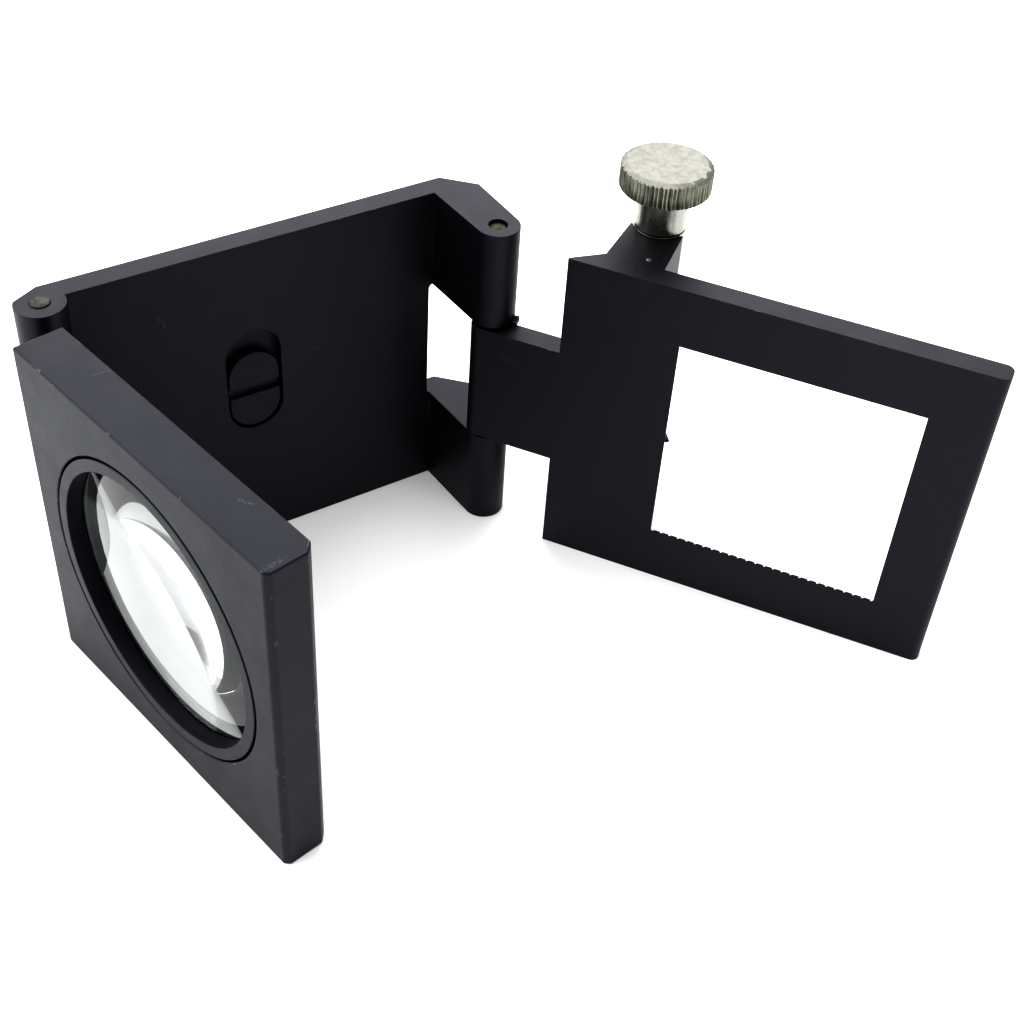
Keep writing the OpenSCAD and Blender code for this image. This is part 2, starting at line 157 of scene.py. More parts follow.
@dataclass(frozen=True)
class BlackAnodising(Finish):
    """Aluminium, bead blasted and black anodised.

    The blasting leaves a fine even grain, so highlights are broad and soft. The
    dye varies a little from place to place, and handling polishes the sharp
    edges down to bare metal and leaves short pale scratches. The oxide film
    gives its gloss a faint blue. The grain is drawn coarser than the real 0.05
    mm, so that it shows.
    """

    name: str = "anodised_aluminium_black"
    deep: str = "#0f0f13"
    pale: str = "#16161c"
    sheen: str = "#eceefc"
    bare: str = "#8b8c90"
    rub: str = "#505158"
    roughness: tuple[float, float] = (0.43, 0.49)
    specular: float = 0.46
    mottle_mm: float = 3.2
    mottle_range: tuple[float, float] = (0.3, 0.7)
    grain_mm: float = 0.24
    grain_deep_mm: float = 0.011
    scratch_mm: float = 2.6
    scratch_lean: tuple[float, float, float] = (0.7, 0.5, 0.9)
    scratch_draw: tuple[float, float, float] = (1.0, 9.0, 9.0)
    scratch_range: tuple[float, float] = (0.69, 0.78)
    scratched: float = 0.22
    wear: float = 0.43
    wear_mm: float = 2.4
    wear_fade: float = 0.16
    wear_most: float = 0.55
    fleck_mm: float = 0.22
    fleck_range: tuple[float, float] = (0.46, 0.62)
    mark_core: float = 0.3
    mark_most: float = 0.75
    marks: tuple[Mark, ...] = ()

    def paint(self, tree: bpy.types.NodeTree) -> None:
        """Fills the material's node tree."""
        place = add(tree, "ShaderNodeTexCoord").outputs["Object"]
        mottle = add(
            tree,
            "ShaderNodeTexNoise",
            {"Vector": place, "Scale": per(self.mottle_mm), "Detail": 4.0, "Roughness": 0.62},
        )
        grain = add(
            tree,
            "ShaderNodeTexNoise",
            {"Vector": place, "Scale": per(self.grain_mm), "Detail": 2.0},
        )
        dye = add(
            tree,
            "ShaderNodeMix",
            {
                MIX_FACTOR: mottle.outputs["Fac"],
                MIX_FIRST: linear(self.deep),
                MIX_SECOND: linear(self.pale),
            },
            data_type="RGBA",
        )
        # fine scratches: noise drawn out along one slanting direction
        drawn = add(
            tree,
            "ShaderNodeMapping",
            {"Vector": place, "Rotation": self.scratch_lean, "Scale": self.scratch_draw},
        )
        streak = add(
            tree,
            "ShaderNodeTexNoise",
            {
                "Vector": drawn.outputs[0],
                "Scale": per(self.scratch_mm),
                "Detail": 3.0,
                "Roughness": 0.55,
            },
        )
        scratch = add(
            tree,
            "ShaderNodeMapRange",
            {
                "Value": streak.outputs["Fac"],
                "From Min": self.scratch_range[0],
                "From Max": self.scratch_range[1],
                "To Max": self.scratched,
            },
            interpolation_type="SMOOTHSTEP",
        )
        rubbed = add(
            tree,
            "ShaderNodeMix",
            {
                MIX_FACTOR: self.scuffed(tree, place, scratch.outputs[0]),
                MIX_FIRST: dye.outputs[2],
                MIX_SECOND: linear(self.rub),
            },
            data_type="RGBA",
        )
        worn = self.worn_edges(tree, place)
        colour = add(
            tree,
            "ShaderNodeMix",
            {
                MIX_FACTOR: worn,
                MIX_FIRST: rubbed.outputs[2],
                MIX_SECOND: linear(self.bare),
            },
            data_type="RGBA",
        )
        rough = add(
            tree,
            "ShaderNodeMapRange",
            {
                "Value": mottle.outputs["Fac"],
                "From Min": self.mottle_range[0],
                "From Max": self.mottle_range[1],
                "To Min": self.roughness[0],
                "To Max": self.roughness[1],
            },
        )
        bump = add(
            tree,
            "ShaderNodeBump",
            {"Height": grain.outputs["Fac"], "Distance": self.grain_deep_mm * MM, "Strength": 1.0},
        )
        shader = add(
            tree,
            "ShaderNodeBsdfPrincipled",
            {
                "Base Color": colour.outputs[2],
                "Metallic": worn,
                "Roughness": rough.outputs[0],
                "Specular IOR Level": self.specular,
                "Specular Tint": linear(self.sheen),
                "Normal": bump.outputs[0],
            },
        )
        add(tree, "ShaderNodeOutputMaterial", {"Surface": shader.outputs[0]})

    def worn_edges(
        self,
        tree: bpy.types.NodeTree,
        place: bpy.types.NodeSocket,
    ) -> bpy.types.NodeSocket:
        """Makes the mask of bare metal, which shows only on broken edges.

        Args:
            tree: the material's node tree.
            place: the object coordinates.

        Returns:
            The mask, 0 where the colour is whole.
        """
        edge = add(tree, "ShaderNodeAttribute", attribute_name="edge").outputs["Fac"]
        patch = add(
            tree,
            "ShaderNodeTexNoise",
            {"Vector": place, "Scale": per(self.wear_mm), "Detail": 5.0, "Roughness": 0.7},
        )
        shown = add(
            tree,
            "ShaderNodeMapRange",
            {
                "Value": patch.outputs["Fac"],
                "From Min": 1 - self.wear,
                "From Max": 1 - self.wear + self.wear_fade,
                "To Max": self.wear_most,
            },
            interpolation_type="SMOOTHSTEP",
        )
        return add(
            tree,
            "ShaderNodeMath",
            {0: shown.outputs[0], 1: edge},
            operation="MULTIPLY",
        ).outputs[0]

    def scuffed(
        self,
        tree: bpy.types.NodeTree,
        place: bpy.types.NodeSocket,
        start: bpy.types.NodeSocket,
    ) -> bpy.types.NodeSocket:
        """Adds each single scuff to the mask of fine scratches.

        Args:
            tree: the material's node tree.
            place: the object coordinates.
            start: the mask so far.

        Returns:
            The mask with the scuffs.
        """
        total = start
        flecks = add(
            tree,
            "ShaderNodeTexNoise",
            {"Vector": place, "Scale": per(self.fleck_mm), "Detail": 3.0, "Roughness": 0.7},
        )
        broken = add(
            tree,
            "ShaderNodeMapRange",
            {
                "Value": flecks.outputs["Fac"],
                "From Min": self.fleck_range[0],
                "From Max": self.fleck_range[1],
            },
            interpolation_type="SMOOTHSTEP",
        )
        for mark in self.marks:
            local = add(
                tree,
                "ShaderNodeMapping",
                {
                    "Vector": place,
                    "Location": [c * MM for c in mark.at],
                    "Rotation": [math.radians(a) for a in mark.turn],
                    "Scale": [c * MM for c in mark.half],
                },
                vector_type="TEXTURE",
            )
            far = add(tree, "ShaderNodeVectorMath", {0: local.outputs[0]}, operation="LENGTH")
            spot = add(
                tree,
                "ShaderNodeMapRange",
                {
                    "Value": far.outputs["Value"],
                    "From Min": 1.0,
                    "From Max": self.mark_core,
                    "To Max": self.mark_most,
                },
                interpolation_type="SMOOTHSTEP",
            )
            flecked = add(
                tree,
                "ShaderNodeMath",
                {0: broken.outputs[0], 1: spot.outputs[0]},
                operation="MULTIPLY",
            )
            total = add(
                tree,
                "ShaderNodeMath",
                {0: total, 1: flecked.outputs[0]},
                operation="MAXIMUM",
            ).outputs[0]
        return total


@dataclass(frozen=True)
class Metal(Finish):
    """A bare or plated metal, turned and then polished or left satin.

    Turning leaves fine rings about the piece's axis, which spread a highlight,
    and handling leaves a cloudy film that makes some patches duller.
    """

    colour: str = "#c8c8c2"
    film: str = "#9d9d96"
    roughness: tuple[float, float] = (0.22, 0.34)
    cloud_mm: float = 1.6
    cloud_range: tuple[float, float] = (0.35, 0.7)
    grain_mm: float = 0.1
    grain_deep_mm: float = 0.0015

    def paint(self, tree: bpy.types.NodeTree) -> None:
        """Fills the material's node tree."""
        place = add(tree, "ShaderNodeTexCoord").outputs["Object"]
        cloud = add(
            tree,
            "ShaderNodeTexNoise",
            {"Vector": place, "Scale": per(self.cloud_mm), "Detail": 4.0, "Roughness": 0.65},
        )
        grain = add(
            tree,
            "ShaderNodeTexNoise",
            {"Vector": place, "Scale": per(self.grain_mm), "Detail": 3.0},
        )
        patch = add(
            tree,
            "ShaderNodeMapRange",
            {
                "Value": cloud.outputs["Fac"],
                "From Min": self.cloud_range[0],
                "From Max": self.cloud_range[1],
            },
            interpolation_type="SMOOTHSTEP",
        )
        colour = add(
            tree,
            "ShaderNodeMix",
            {
                MIX_FACTOR: patch.outputs[0],
                MIX_FIRST: linear(self.colour),
                MIX_SECOND: linear(self.film),
            },
            data_type="RGBA",
        )
        rough = add(
            tree,
            "ShaderNodeMapRange",
            {
                "Value": patch.outputs[0],
                "To Min": self.roughness[0],
                "To Max": self.roughness[1],
            },
        )
        bump = add(
            tree,
            "ShaderNodeBump",
            {"Height": grain.outputs["Fac"], "Distance": self.grain_deep_mm * MM, "Strength": 1.0},
        )
        shader = add(
            tree,
            "ShaderNodeBsdfPrincipled",
            {
                "Base Color": colour.outputs[2],
                "Metallic": 1.0,
                "Roughness": rough.outputs[0],
                "Normal": bump.outputs[0],
            },
        )
        add(tree, "ShaderNodeOutputMaterial", {"Surface": shader.outputs[0]})


@dataclass(frozen=True)
class OpticalGlass(Finish):
    """Crown glass, ground and polished: clear, with a trace of dust on it."""

    name: str = "crown_glass_polished"
    tint: str = "#f7fbfa"
    ior: float = 1.52
    dust_mm: float = 0.5
    dust_range: tuple[float, float] = (0.72, 0.85)
    dust_roughness: float = 0.03

    def paint(self, tree: bpy.types.NodeTree) -> None:
        """Fills the material's node tree."""
        place = add(tree, "ShaderNodeTexCoord").outputs["Object"]
        dust = add(
            tree,
            "ShaderNodeTexNoise",
            {"Vector": place, "Scale": per(self.dust_mm), "Detail": 4.0, "Roughness": 0.7},
        )
        rough = add(
            tree,
            "ShaderNodeMapRange",
            {
                "Value": dust.outputs["Fac"],
                "From Min": self.dust_range[0],
                "From Max": self.dust_range[1],
                "To Max": self.dust_roughness,
            },
        )
        shader = add(
            tree,
            "ShaderNodeBsdfPrincipled",
            {
                "Base Color": linear(self.tint),
                "Roughness": rough.outputs[0],
                "IOR": self.ior,
                "Transmission Weight": 1.0,
            },
        )
        add(tree, "ShaderNodeOutputMaterial", {"Surface": shader.outputs[0]})


@dataclass(frozen=True)
class GroundGlass(Finish):
    """The rim of the lens, left as ground: matt, grey and not clear."""

    name: str = "crown_glass_ground"
    colour: str = "#6d6e75"
    pit: str = "#8e8f96"
    pit_mm: float = 0.2
    roughness: float = 0.75
    specular: float = 0.3

    def paint(self, tree: bpy.types.NodeTree) -> None:
        """Fills the material's node tree."""
        place = add(tree, "ShaderNodeTexCoord").outputs["Object"]
        pits = add(tree, "ShaderNodeTexNoise", {"Vector": place, "Scale": per(self.pit_mm)})
        colour = add(
            tree,
            "ShaderNodeMix",
            {
                MIX_FACTOR: pits.outputs["Fac"],
                MIX_FIRST: linear(self.colour),
                MIX_SECOND: linear(self.pit),
            },
            data_type="RGBA",
        )
        shader = add(
            tree,
            "ShaderNodeBsdfPrincipled",
            {
                "Base Color": colour.outputs[2],
                "Roughness": self.roughness,
                "Specular IOR Level": self.specular,
            },
        )
        add(tree, "ShaderNodeOutputMaterial", {"Surface": shader.outputs[0]})


@dataclass(frozen=True)
class LineFill(Finish):
    """Off-white enamel wiped into engraved lines: chalky, thin in places."""

    name: str = "enamel_fill_white"
    colour: str = "#d9d8d0"
    thin: str = "#77776f"
    patch_mm: float = 0.6
    patch_range: tuple[float, float] = (0.5, 0.72)
    roughness: float = 0.62

    def paint(self, tree: bpy.types.NodeTree) -> None:
        """Fills the material's node tree."""
        place = add(tree, "ShaderNodeTexCoord").outputs["Object"]
        patch = add(
            tree,
            "ShaderNodeTexNoise",
            {"Vector": place, "Scale": per(self.patch_mm), "Detail": 4.0, "Roughness": 0.7},
        )
        shown = add(
            tree,
            "ShaderNodeMapRange",
            {
                "Value": patch.outputs["Fac"],
                "From Min": self.patch_range[0],
                "From Max": self.patch_range[1],
            },
        )
        colour = add(
            tree,
            "ShaderNodeMix",
            {
                MIX_FACTOR: shown.outputs[0],
                MIX_FIRST: linear(self.colour),
                MIX_SECOND: linear(self.thin),
            },
            data_type="RGBA",
        )
        shader = add(
            tree,
            "ShaderNodeBsdfPrincipled",
            {"Base Color": colour.outputs[2], "Roughness": self.roughness},
        )
        add(tree, "ShaderNodeOutputMaterial", {"Surface": shader.outputs[0]})


# One dye and one blasting for every leaf. Only the scuffs differ from leaf to leaf.
ANODISED = BlackAnodising()
PLATE_ANODISED = BlackAnodising(
    name="anodised_aluminium_black_plate",
    marks=(
        Mark((-11.2, -1.25, 32.8), (0.9, 0.4, 0.16), (0, 62, 0)),
        Mark((-10.8, -1.25, 32.1), (0.5, 0.4, 0.14), (0, -70, 0)),
        Mark((5.8, -1.25, 23.4), (0.7, 0.4, 0.13), (0, 20, 0)),
        Mark((6.9, -1.25, 24.0), (0.35, 0.4, 0.12), (0, 60, 0)),
        Mark((12.3, -1.25, 27.6), (0.3, 0.4, 0.1), (0, 30, 0)),
        Mark((16.1, -1.25, 11.0), (0.25, 0.4, 0.12), (0, 80, 0)),
    ),
)
RING_ANODISED = BlackAnodising(name="anodised_aluminium_black_ring", wear=0.0)
LENS_ANODISED = BlackAnodising(
    name="anodised_aluminium_black_lens_leaf",
    marks=(
        Mark((-24.4, -21.9, 38.7), (0.3, 1.5, 0.3), (0, 0, 11)),
        Mark((-24.0, -24.6, 38.7), (0.3, 1.9, 0.3), (0, 0, 11)),
        Mark((-22.8, -31.0, 38.7), (0.3, 3.0, 0.3), (0, 0, 11)),
        Mark((-17.6, -35.6, 38.7), (0.3, 1.3, 0.3), (0, 0, 40)),
        Mark((-18.9, -43.3, 38.7), (1.9, 0.3, 0.3), (0, 0, 11)),
    ),
)
BASE_ANODISED = BlackAnodising(
    name="anodised_aluminium_black_base_leaf",
    marks=(
        Mark((22.3, -13.2, 24.0), (0.9, 0.9, 0.1), (0, 8, -55)),
        Mark((22.9, -14.05, 24.15), (0.75, 0.75, 0.09), (0, 25, -55)),
        Mark((22.7, -13.8, 23.65), (0.6, 0.6, 0.08), (0, -15, -55)),
    ),
)
# Plated brass. The head's top is blasted satin, its ridges shine from handling,
# its groove flanks get a darker nickel as painted shade, and the collar and tube keep the sheen of
# turning.
NICKEL_SATIN = Metal("nickel_plate_satin", "#84847e", "#7e7e77", (0.38, 0.5), cloud_mm=0.6)
NICKEL_KNURLED = Metal("nickel_plate_knurled", "#a5a59c", "#86867c", (0.28, 0.4))
# darker nickel for the knurl's groove flanks: painted shade, not dirt
NICKEL_GROOVE_SHADED = Metal("nickel_plate_grooves_painted_shade", "#8e8e84", "#6c6c62", (0.36, 0.5))
NICKEL_BRIGHT = Metal("nickel_plate_turned", "#a9a9a3", "#9b9b95", (0.27, 0.36))
# Turned steel is bright. A cut pin end is duller, and oil blacking is nearly matt.
STEEL = Metal("steel_turned", "#8f9092", "#6c6c6b", (0.26, 0.4))
PIN_STEEL = Metal("steel_cut_dull", "#535350", "#40403e", (0.42, 0.58), cloud_mm=0.7)
DARK_STEEL = Metal("steel_blackened", "#3c3d40", "#2b2b2d", (0.34, 0.5))
# Brass that is open to the hand tarnishes to olive. Inside it stays yellow.
OLIVE_BRASS = Metal("brass_tarnished", "#47473b", "#35352b", (0.42, 0.56), cloud_mm=0.7)
TURNED_BRASS = Metal("brass_turned", "#c2a862", "#93794a", (0.24, 0.38))
GLASS = OpticalGlass()
GROUND_GLASS = GroundGlass()
ENAMEL = LineFill()


# -------------------------------------------------------------- making a piece


LARGE_FACES_RULE = 100  # weight at which a large flat face keeps its own normal
FLAT_WITHIN = 0.4  # faces that turn less than this are one flat face, in degrees


class Break(Enum):
    """How wide a broken edge is, in millimetres, with its number of steps."""

    LEAF = (0.2, 3)
    SMALL = (0.1, 2)
    FINE = (0.045, 2)


def node_facts(node: str) -> tuple[str, str]:
    """Finds a CAD node's body and its material slot in the record."""
    bodies = frame["record"]["behaviour"]["bodies"]
    body = next(name for name, nodes in bodies.items() if node in nodes)
    slots = {s["node"]: s["material_slot"] for s in frame["record"]["subparts"]}
    return body, slots[node]


def middle(node: str) -> Vector:
    """Gives the middle of a CAD node's box, in metres."""
    low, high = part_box(node)
    return (low + high) / 2


def finish_piece(
    bm: bmesh.types.BMesh,
    node: str,
    finish: Finish,
    *more: Finish,
) -> bpy.types.Object:
    """Turns a bmesh into the piece that stands for a CAD node.

    Args:
        bm: the piece's shape in the row frame, in metres, which is freed.
        node: the CAD node that it replaces.
        finish: its finish.
        more: the finishes of its further material slots.

    Returns:
        The piece, riding on its body.
    """
    for face in bm.faces:
        face.smooth = True
    mesh = bpy.data.meshes.new(f"{node}_look")
    bm.to_mesh(mesh)
    bm.free()
    piece = bpy.data.objects.new(f"{node}_look", mesh)
    bpy.context.scene.collection.objects.link(piece)
    for each in (finish, *more):
        mesh.materials.append(each.material())
    shade = piece.modifiers.new("flat_faces_stay_flat", "WEIGHTED_NORMAL")
    shade.weight = LARGE_FACES_RULE
    shade.keep_sharp = True
    body, slot = node_facts(node)
    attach(piece, body)
    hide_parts(node)
    log.info("%s: %d faces, %s", piece.name, len(mesh.polygons), finish.name)
    return piece


def merged_copy(node: str) -> bmesh.types.BMesh:
    """Copies a CAD node's mesh, merged and with its flat faces made whole."""
    bm = bmesh.new()
    bm.from_mesh(frame["nodes"][node].data)
    bmesh.ops.remove_doubles(bm, verts=bm.verts, dist=MERGE_M)
    bmesh.ops.dissolve_limit(
        bm,
        angle_limit=math.radians(FLAT_WITHIN),
        use_dissolve_boundaries=False,
        verts=bm.verts,
        edges=bm.edges,
    )
    return bm


def break_edges(
    bm: bmesh.types.BMesh,
    style: Break,
    wanted: Callable[[bmesh.types.BMEdge], bool] = lambda edge: True,
    least_turn: float = 28,
) -> None:
    """Rounds sharp edges and notes the new faces in the "edge" attribute.

    Args:
        bm: the shape, in metres.
        style: the width and steps of the broken edge.
        wanted: says whether a sharp edge is to be rounded.
        least_turn: the smallest angle between faces that counts as sharp, in degrees.
    """
    note = bm.faces.layers.float.get("edge") or bm.faces.layers.float.new("edge")
    sharp = [
        edge
        for edge in bm.edges
        if edge.is_manifold and edge.calc_face_angle() > math.radians(least_turn) and wanted(edge)
    ]
    width, steps = style.value
    made = bmesh.ops.bevel(
        bm,
        geom=sharp,
        offset=width * MM,
        offset_type="OFFSET",
        segments=steps,
        profile=0.5,
        affect="EDGES",
        clamp_overlap=True,
        material=-1,
    )
    for face in made["faces"]:
        face[note] = 1.0


def turned(
    profile: Sequence[tuple[float, float]],
    steps: int,
    closed: bool = False,
) -> bmesh.types.BMesh:
    """Spins a profile into a round shape about Z, in millimetres.

    Args:
        profile: the profile's corners, each a radius and a height.
        steps: how many faces go round.
        closed: whether the profile's last corner joins its first, as for a ring.

    Returns:
        The shape, with its faces pointing outwards.
    """
    bm = bmesh.new()
    corners = [bm.verts.new((radius, 0.0, height)) for radius, height in profile]
    pairs = list(zip(corners, corners[1:])) + ([(corners[-1], corners[0])] if closed else [])
    edges = [bm.edges.new(pair) for pair in pairs]
    spin_closed(bm, corners + edges, steps)
    return bm


def spin_closed(bm: bmesh.types.BMesh, geom: list[Any], steps: int) -> None:
    """Spins geometry a full turn about Z and makes its normals point outwards."""
    bmesh.ops.spin(
        bm,
        geom=geom,
        cent=(0, 0, 0),
        axis=(0, 0, 1),
        dvec=(0, 0, 0),
        angle=math.tau,
        steps=steps,
        use_merge=True,
    )
    bmesh.ops.remove_doubles(bm, verts=bm.verts, dist=MERGE_MM)
    bmesh.ops.recalc_face_normals(bm, faces=bm.faces)


def to_row(bm: bmesh.types.BMesh, where: Matrix) -> None:
    """Scales a shape from millimetres and puts it in its place."""
    bmesh.ops.transform(bm, matrix=where @ Matrix.Scale(MM, 4), verts=bm.verts)


def plain_part(node: str, finish: Finish, style: Break) -> bpy.types.Object:
    """Makes a piece from its CAD node, with all its sharp edges broken."""
    bm = merged_copy(node)
    break_edges(bm, style)
    return finish_piece(bm, node, finish)


# ------------------------------------------------------------------ the pieces


@dataclass
class BackPlate:
    """The back plate with its knuckles and arms, its pins and its washers."""

    pin_dome: float = 0.07
    pin_steps: int = 48

    def build(self) -> None:
        """Builds the plate and everything that is fixed to it."""
        self.plate()
        self.pin("lens_hinge_pin", PIN_STEEL)
        self.pin("base_hinge_pin", OLIVE_BRASS)
        for node in ("lens_washer_upper", "lens_washer_lower", "base_washer_lower"):
            plain_part(node, DARK_STEEL, Break.FINE)
        plain_part("base_washer_upper", DARK_STEEL, Break.FINE)

    def plate(self) -> None:
        """Makes the anodised plate with softened edges."""
        bm = merged_copy("back_plate")
        break_edges(bm, Break.LEAF)
        finish_piece(bm, "back_plate", PLATE_ANODISED)

    def pin(self, node: str, finish: Finish) -> None:
        """Makes one hinge pin, a rod with slightly domed ends.

        Args:
            node: the pin's CAD node.
            finish: the pin's finish.
        """
        low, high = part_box(node)
        radius = (high.x - low.x) / 2 / MM
        length = (high.z - low.z) / MM
        dome = self.pin_dome
        crown = [
            (0, 0),
            (radius * 0.6, dome * 0.2),
            (radius - dome, dome * 0.6),
            (radius, dome * 1.6),
        ]
        top = [(out, length - rise) for out, rise in reversed(crown)]
        bm = turned(crown + top, self.pin_steps)
        centre = middle(node)
        to_row(bm, Matrix.Translation((centre.x, centre.y, low.z)))
        finish_piece(bm, node, finish)


@dataclass
class LensLeaf:
    """The thick leaf that holds the lens behind its retaining ring.

    The sizes are in millimetres. A face of the glass that leans more than
    ground_slope allows belongs to the ground rim.
    """

    turn: float = -79.0
    glass_r: float = 15.2
    glass_sag: float = 1.9
    glass_edge: float = 1.0
    glass_bevel: float = 0.18
    ground_slope: float = 0.85
    arc_steps: int = 28
    ring_r: float = 15.8
    bore_r: float = 14.3
    ring_deep: float = 1.7
    seam: float = 0.2
    seam_deep: float = 0.6
    steps: int = 192

    def axis_at(self, node: str) -> Matrix:
        """Gives the matrix that puts Z along the lens's axis at a node's middle."""
        return (
            Matrix.Translation(middle(node))
            @ Matrix.Rotation(math.radians(self.turn), 4, "Z")
            @ Matrix.Rotation(math.radians(-90), 4, "X")
        )

    def build(self) -> None:
        """Builds the leaf, its ring and its glass."""
        bm = merged_copy("lens_panel")
        break_edges(bm, Break.LEAF)
        finish_piece(bm, "lens_panel", LENS_ANODISED)
        self.ring()
        self.glass()

    def ring(self) -> None:
        """Spins the threaded ring, whose face is flush with the leaf."""
        half = self.ring_deep / 2
        bm = turned(
            [
                (self.bore_r, -half),
                (self.ring_r - self.seam, -half),
                (self.ring_r - self.seam, -half + self.seam_deep),
                (self.ring_r, -half + self.seam_deep),
                (self.ring_r, half - self.seam_deep),
                (self.ring_r - self.seam, half - self.seam_deep),
                (self.ring_r - self.seam, half),
                (self.bore_r, half),
            ],
            self.steps,
            closed=True,
        )
        to_row(bm, self.axis_at("retaining_ring"))
        break_edges(bm, Break.SMALL)
        finish_piece(bm, "retaining_ring", RING_ANODISED)

    def glass(self) -> None:
        """Spins the lens: two shallow domes, a ground rim and small bevels."""
        curve = (self.glass_r**2 + self.glass_sag**2) / (2 * self.glass_sag)
        reach = math.asin((self.glass_r - self.glass_bevel) / curve)
        top = self.glass_edge / 2 + self.glass_sag
        bm = bmesh.new()
        pole = bm.verts.new((0, 0, top))
        arc = bmesh.ops.spin(
            bm,
            geom=[pole],
            cent=(0, 0, top - curve),
            axis=(0, 1, 0),
            dvec=(0, 0, 0),
            angle=reach,
            steps=self.arc_steps,
        )
        rim = arc["geom_last"][0]
        low = bm.verts.new((self.glass_r, 0, self.glass_edge / 2 - self.glass_bevel / 2))
        flat = bm.verts.new((self.glass_r, 0, 0))
        bm.edges.new((rim, low))
        bm.edges.new((low, flat))
        bmesh.ops.mirror(bm, geom=bm.verts[:] + bm.edges[:], axis="Z", merge_dist=MERGE_MM)
        spin_closed(bm, bm.verts[:] + bm.edges[:], self.steps)
        for face in bm.faces:
            face.material_index = 1 if abs(face.normal.z) < self.ground_slope else 0
        to_row(bm, self.axis_at("glass_lens"))
        finish_piece(bm, "glass_lens", GLASS, GROUND_GLASS)


@dataclass
class BaseLeaf:
    """The thin leaf with the ruled window, its lugs and the guide tube.

    The sizes are in millimetres. facing, flat, and same_slope sort the faces
    round the window: an engraved face looks outwards a little, but is neither
    the leaf's flat back nor one of the four slopes.
    """

    turn: float = -55.0
    neck: float = 8.7
    pin_depth: float = 2.5
    thick: float = 2.6
    window_u: float = 12.6
    window_w: float = 25.4
    slope: float = 3.0
    height: float = 38.7
    land: float = 0.2
    skin: float = 0.05
    facing: float = 0.05
    flat: float = 0.99
    same_slope: float = 0.995

    def own_axes(self) -> Matrix:
        """Gives the matrix from the row frame to the leaf's own millimetres."""
        joints = frame["record"]["behaviour"]["joints"]
        pin = next(j["pos_m"] for j in joints if j["name"] == "base_hinge")
        out = (
            Matrix.Translation((pin[0], pin[1], 0))
            @ Matrix.Rotation(math.radians(self.turn), 4, "Z")
            @ Matrix.Scale(MM, 4)
            @ Matrix.Translation((self.neck, -self.pin_depth, 0))
        )
        return out.inverted()

    def build(self) -> None:
        """Builds the leaf and everything that is fixed to it."""
        self.leaf()
        plain_part("guide_tube", NICKEL_BRIGHT, Break.SMALL)
        plain_part("lug_dowel", NICKEL_BRIGHT, Break.FINE)
        plain_part("tube_end_plug", TURNED_BRASS, Break.FINE)
        plain_part("tube_bush", TURNED_BRASS, Break.FINE)
        plain_part("thrust_washer", STEEL, Break.FINE)

    def leaf(self) -> None:
        """Makes the leaf, with enamel in the ruled lines of its four slopes."""
        bm = merged_copy("base_frame")
        own = self.own_axes()
        low_u, high_u = self.window_u - self.slope, self.window_u + self.window_w + self.slope
        low_z = (self.height - self.window_w) / 2 - self.slope
        high_z = self.height - low_z
        skin, rise = self.skin, self.thick - self.land

        def in_window(point: Vector) -> bool:
            """Says whether a point lies on the slopes or the window's edge."""
            at = own @ point
            return (
                low_u + skin < at.x < high_u - skin
                and low_z + skin < at.z < high_z - skin
                and at.y < self.thick + skin
            )

        slopes = [
            Vector((a * rise, self.slope, b * rise)).normalized()
            for a, b in ((1, 0), (-1, 0), (0, 1), (0, -1))
        ]
        turn = own.to_3x3().normalized()
        for face in bm.faces:
            if not in_window(face.calc_center_median()):
                continue
            normal = (turn @ face.normal).normalized()
            cut = self.facing < normal.y < self.flat and all(
                normal.dot(slope) < self.same_slope for slope in slopes
            )
            face.material_index = 1 if cut else 0
        break_edges(
            bm,
            Break.LEAF,
            lambda edge: not any(in_window(v.co) for v in edge.verts),
        )
        finish_piece(bm, "base_frame", BASE_ANODISED, ENAMEL)


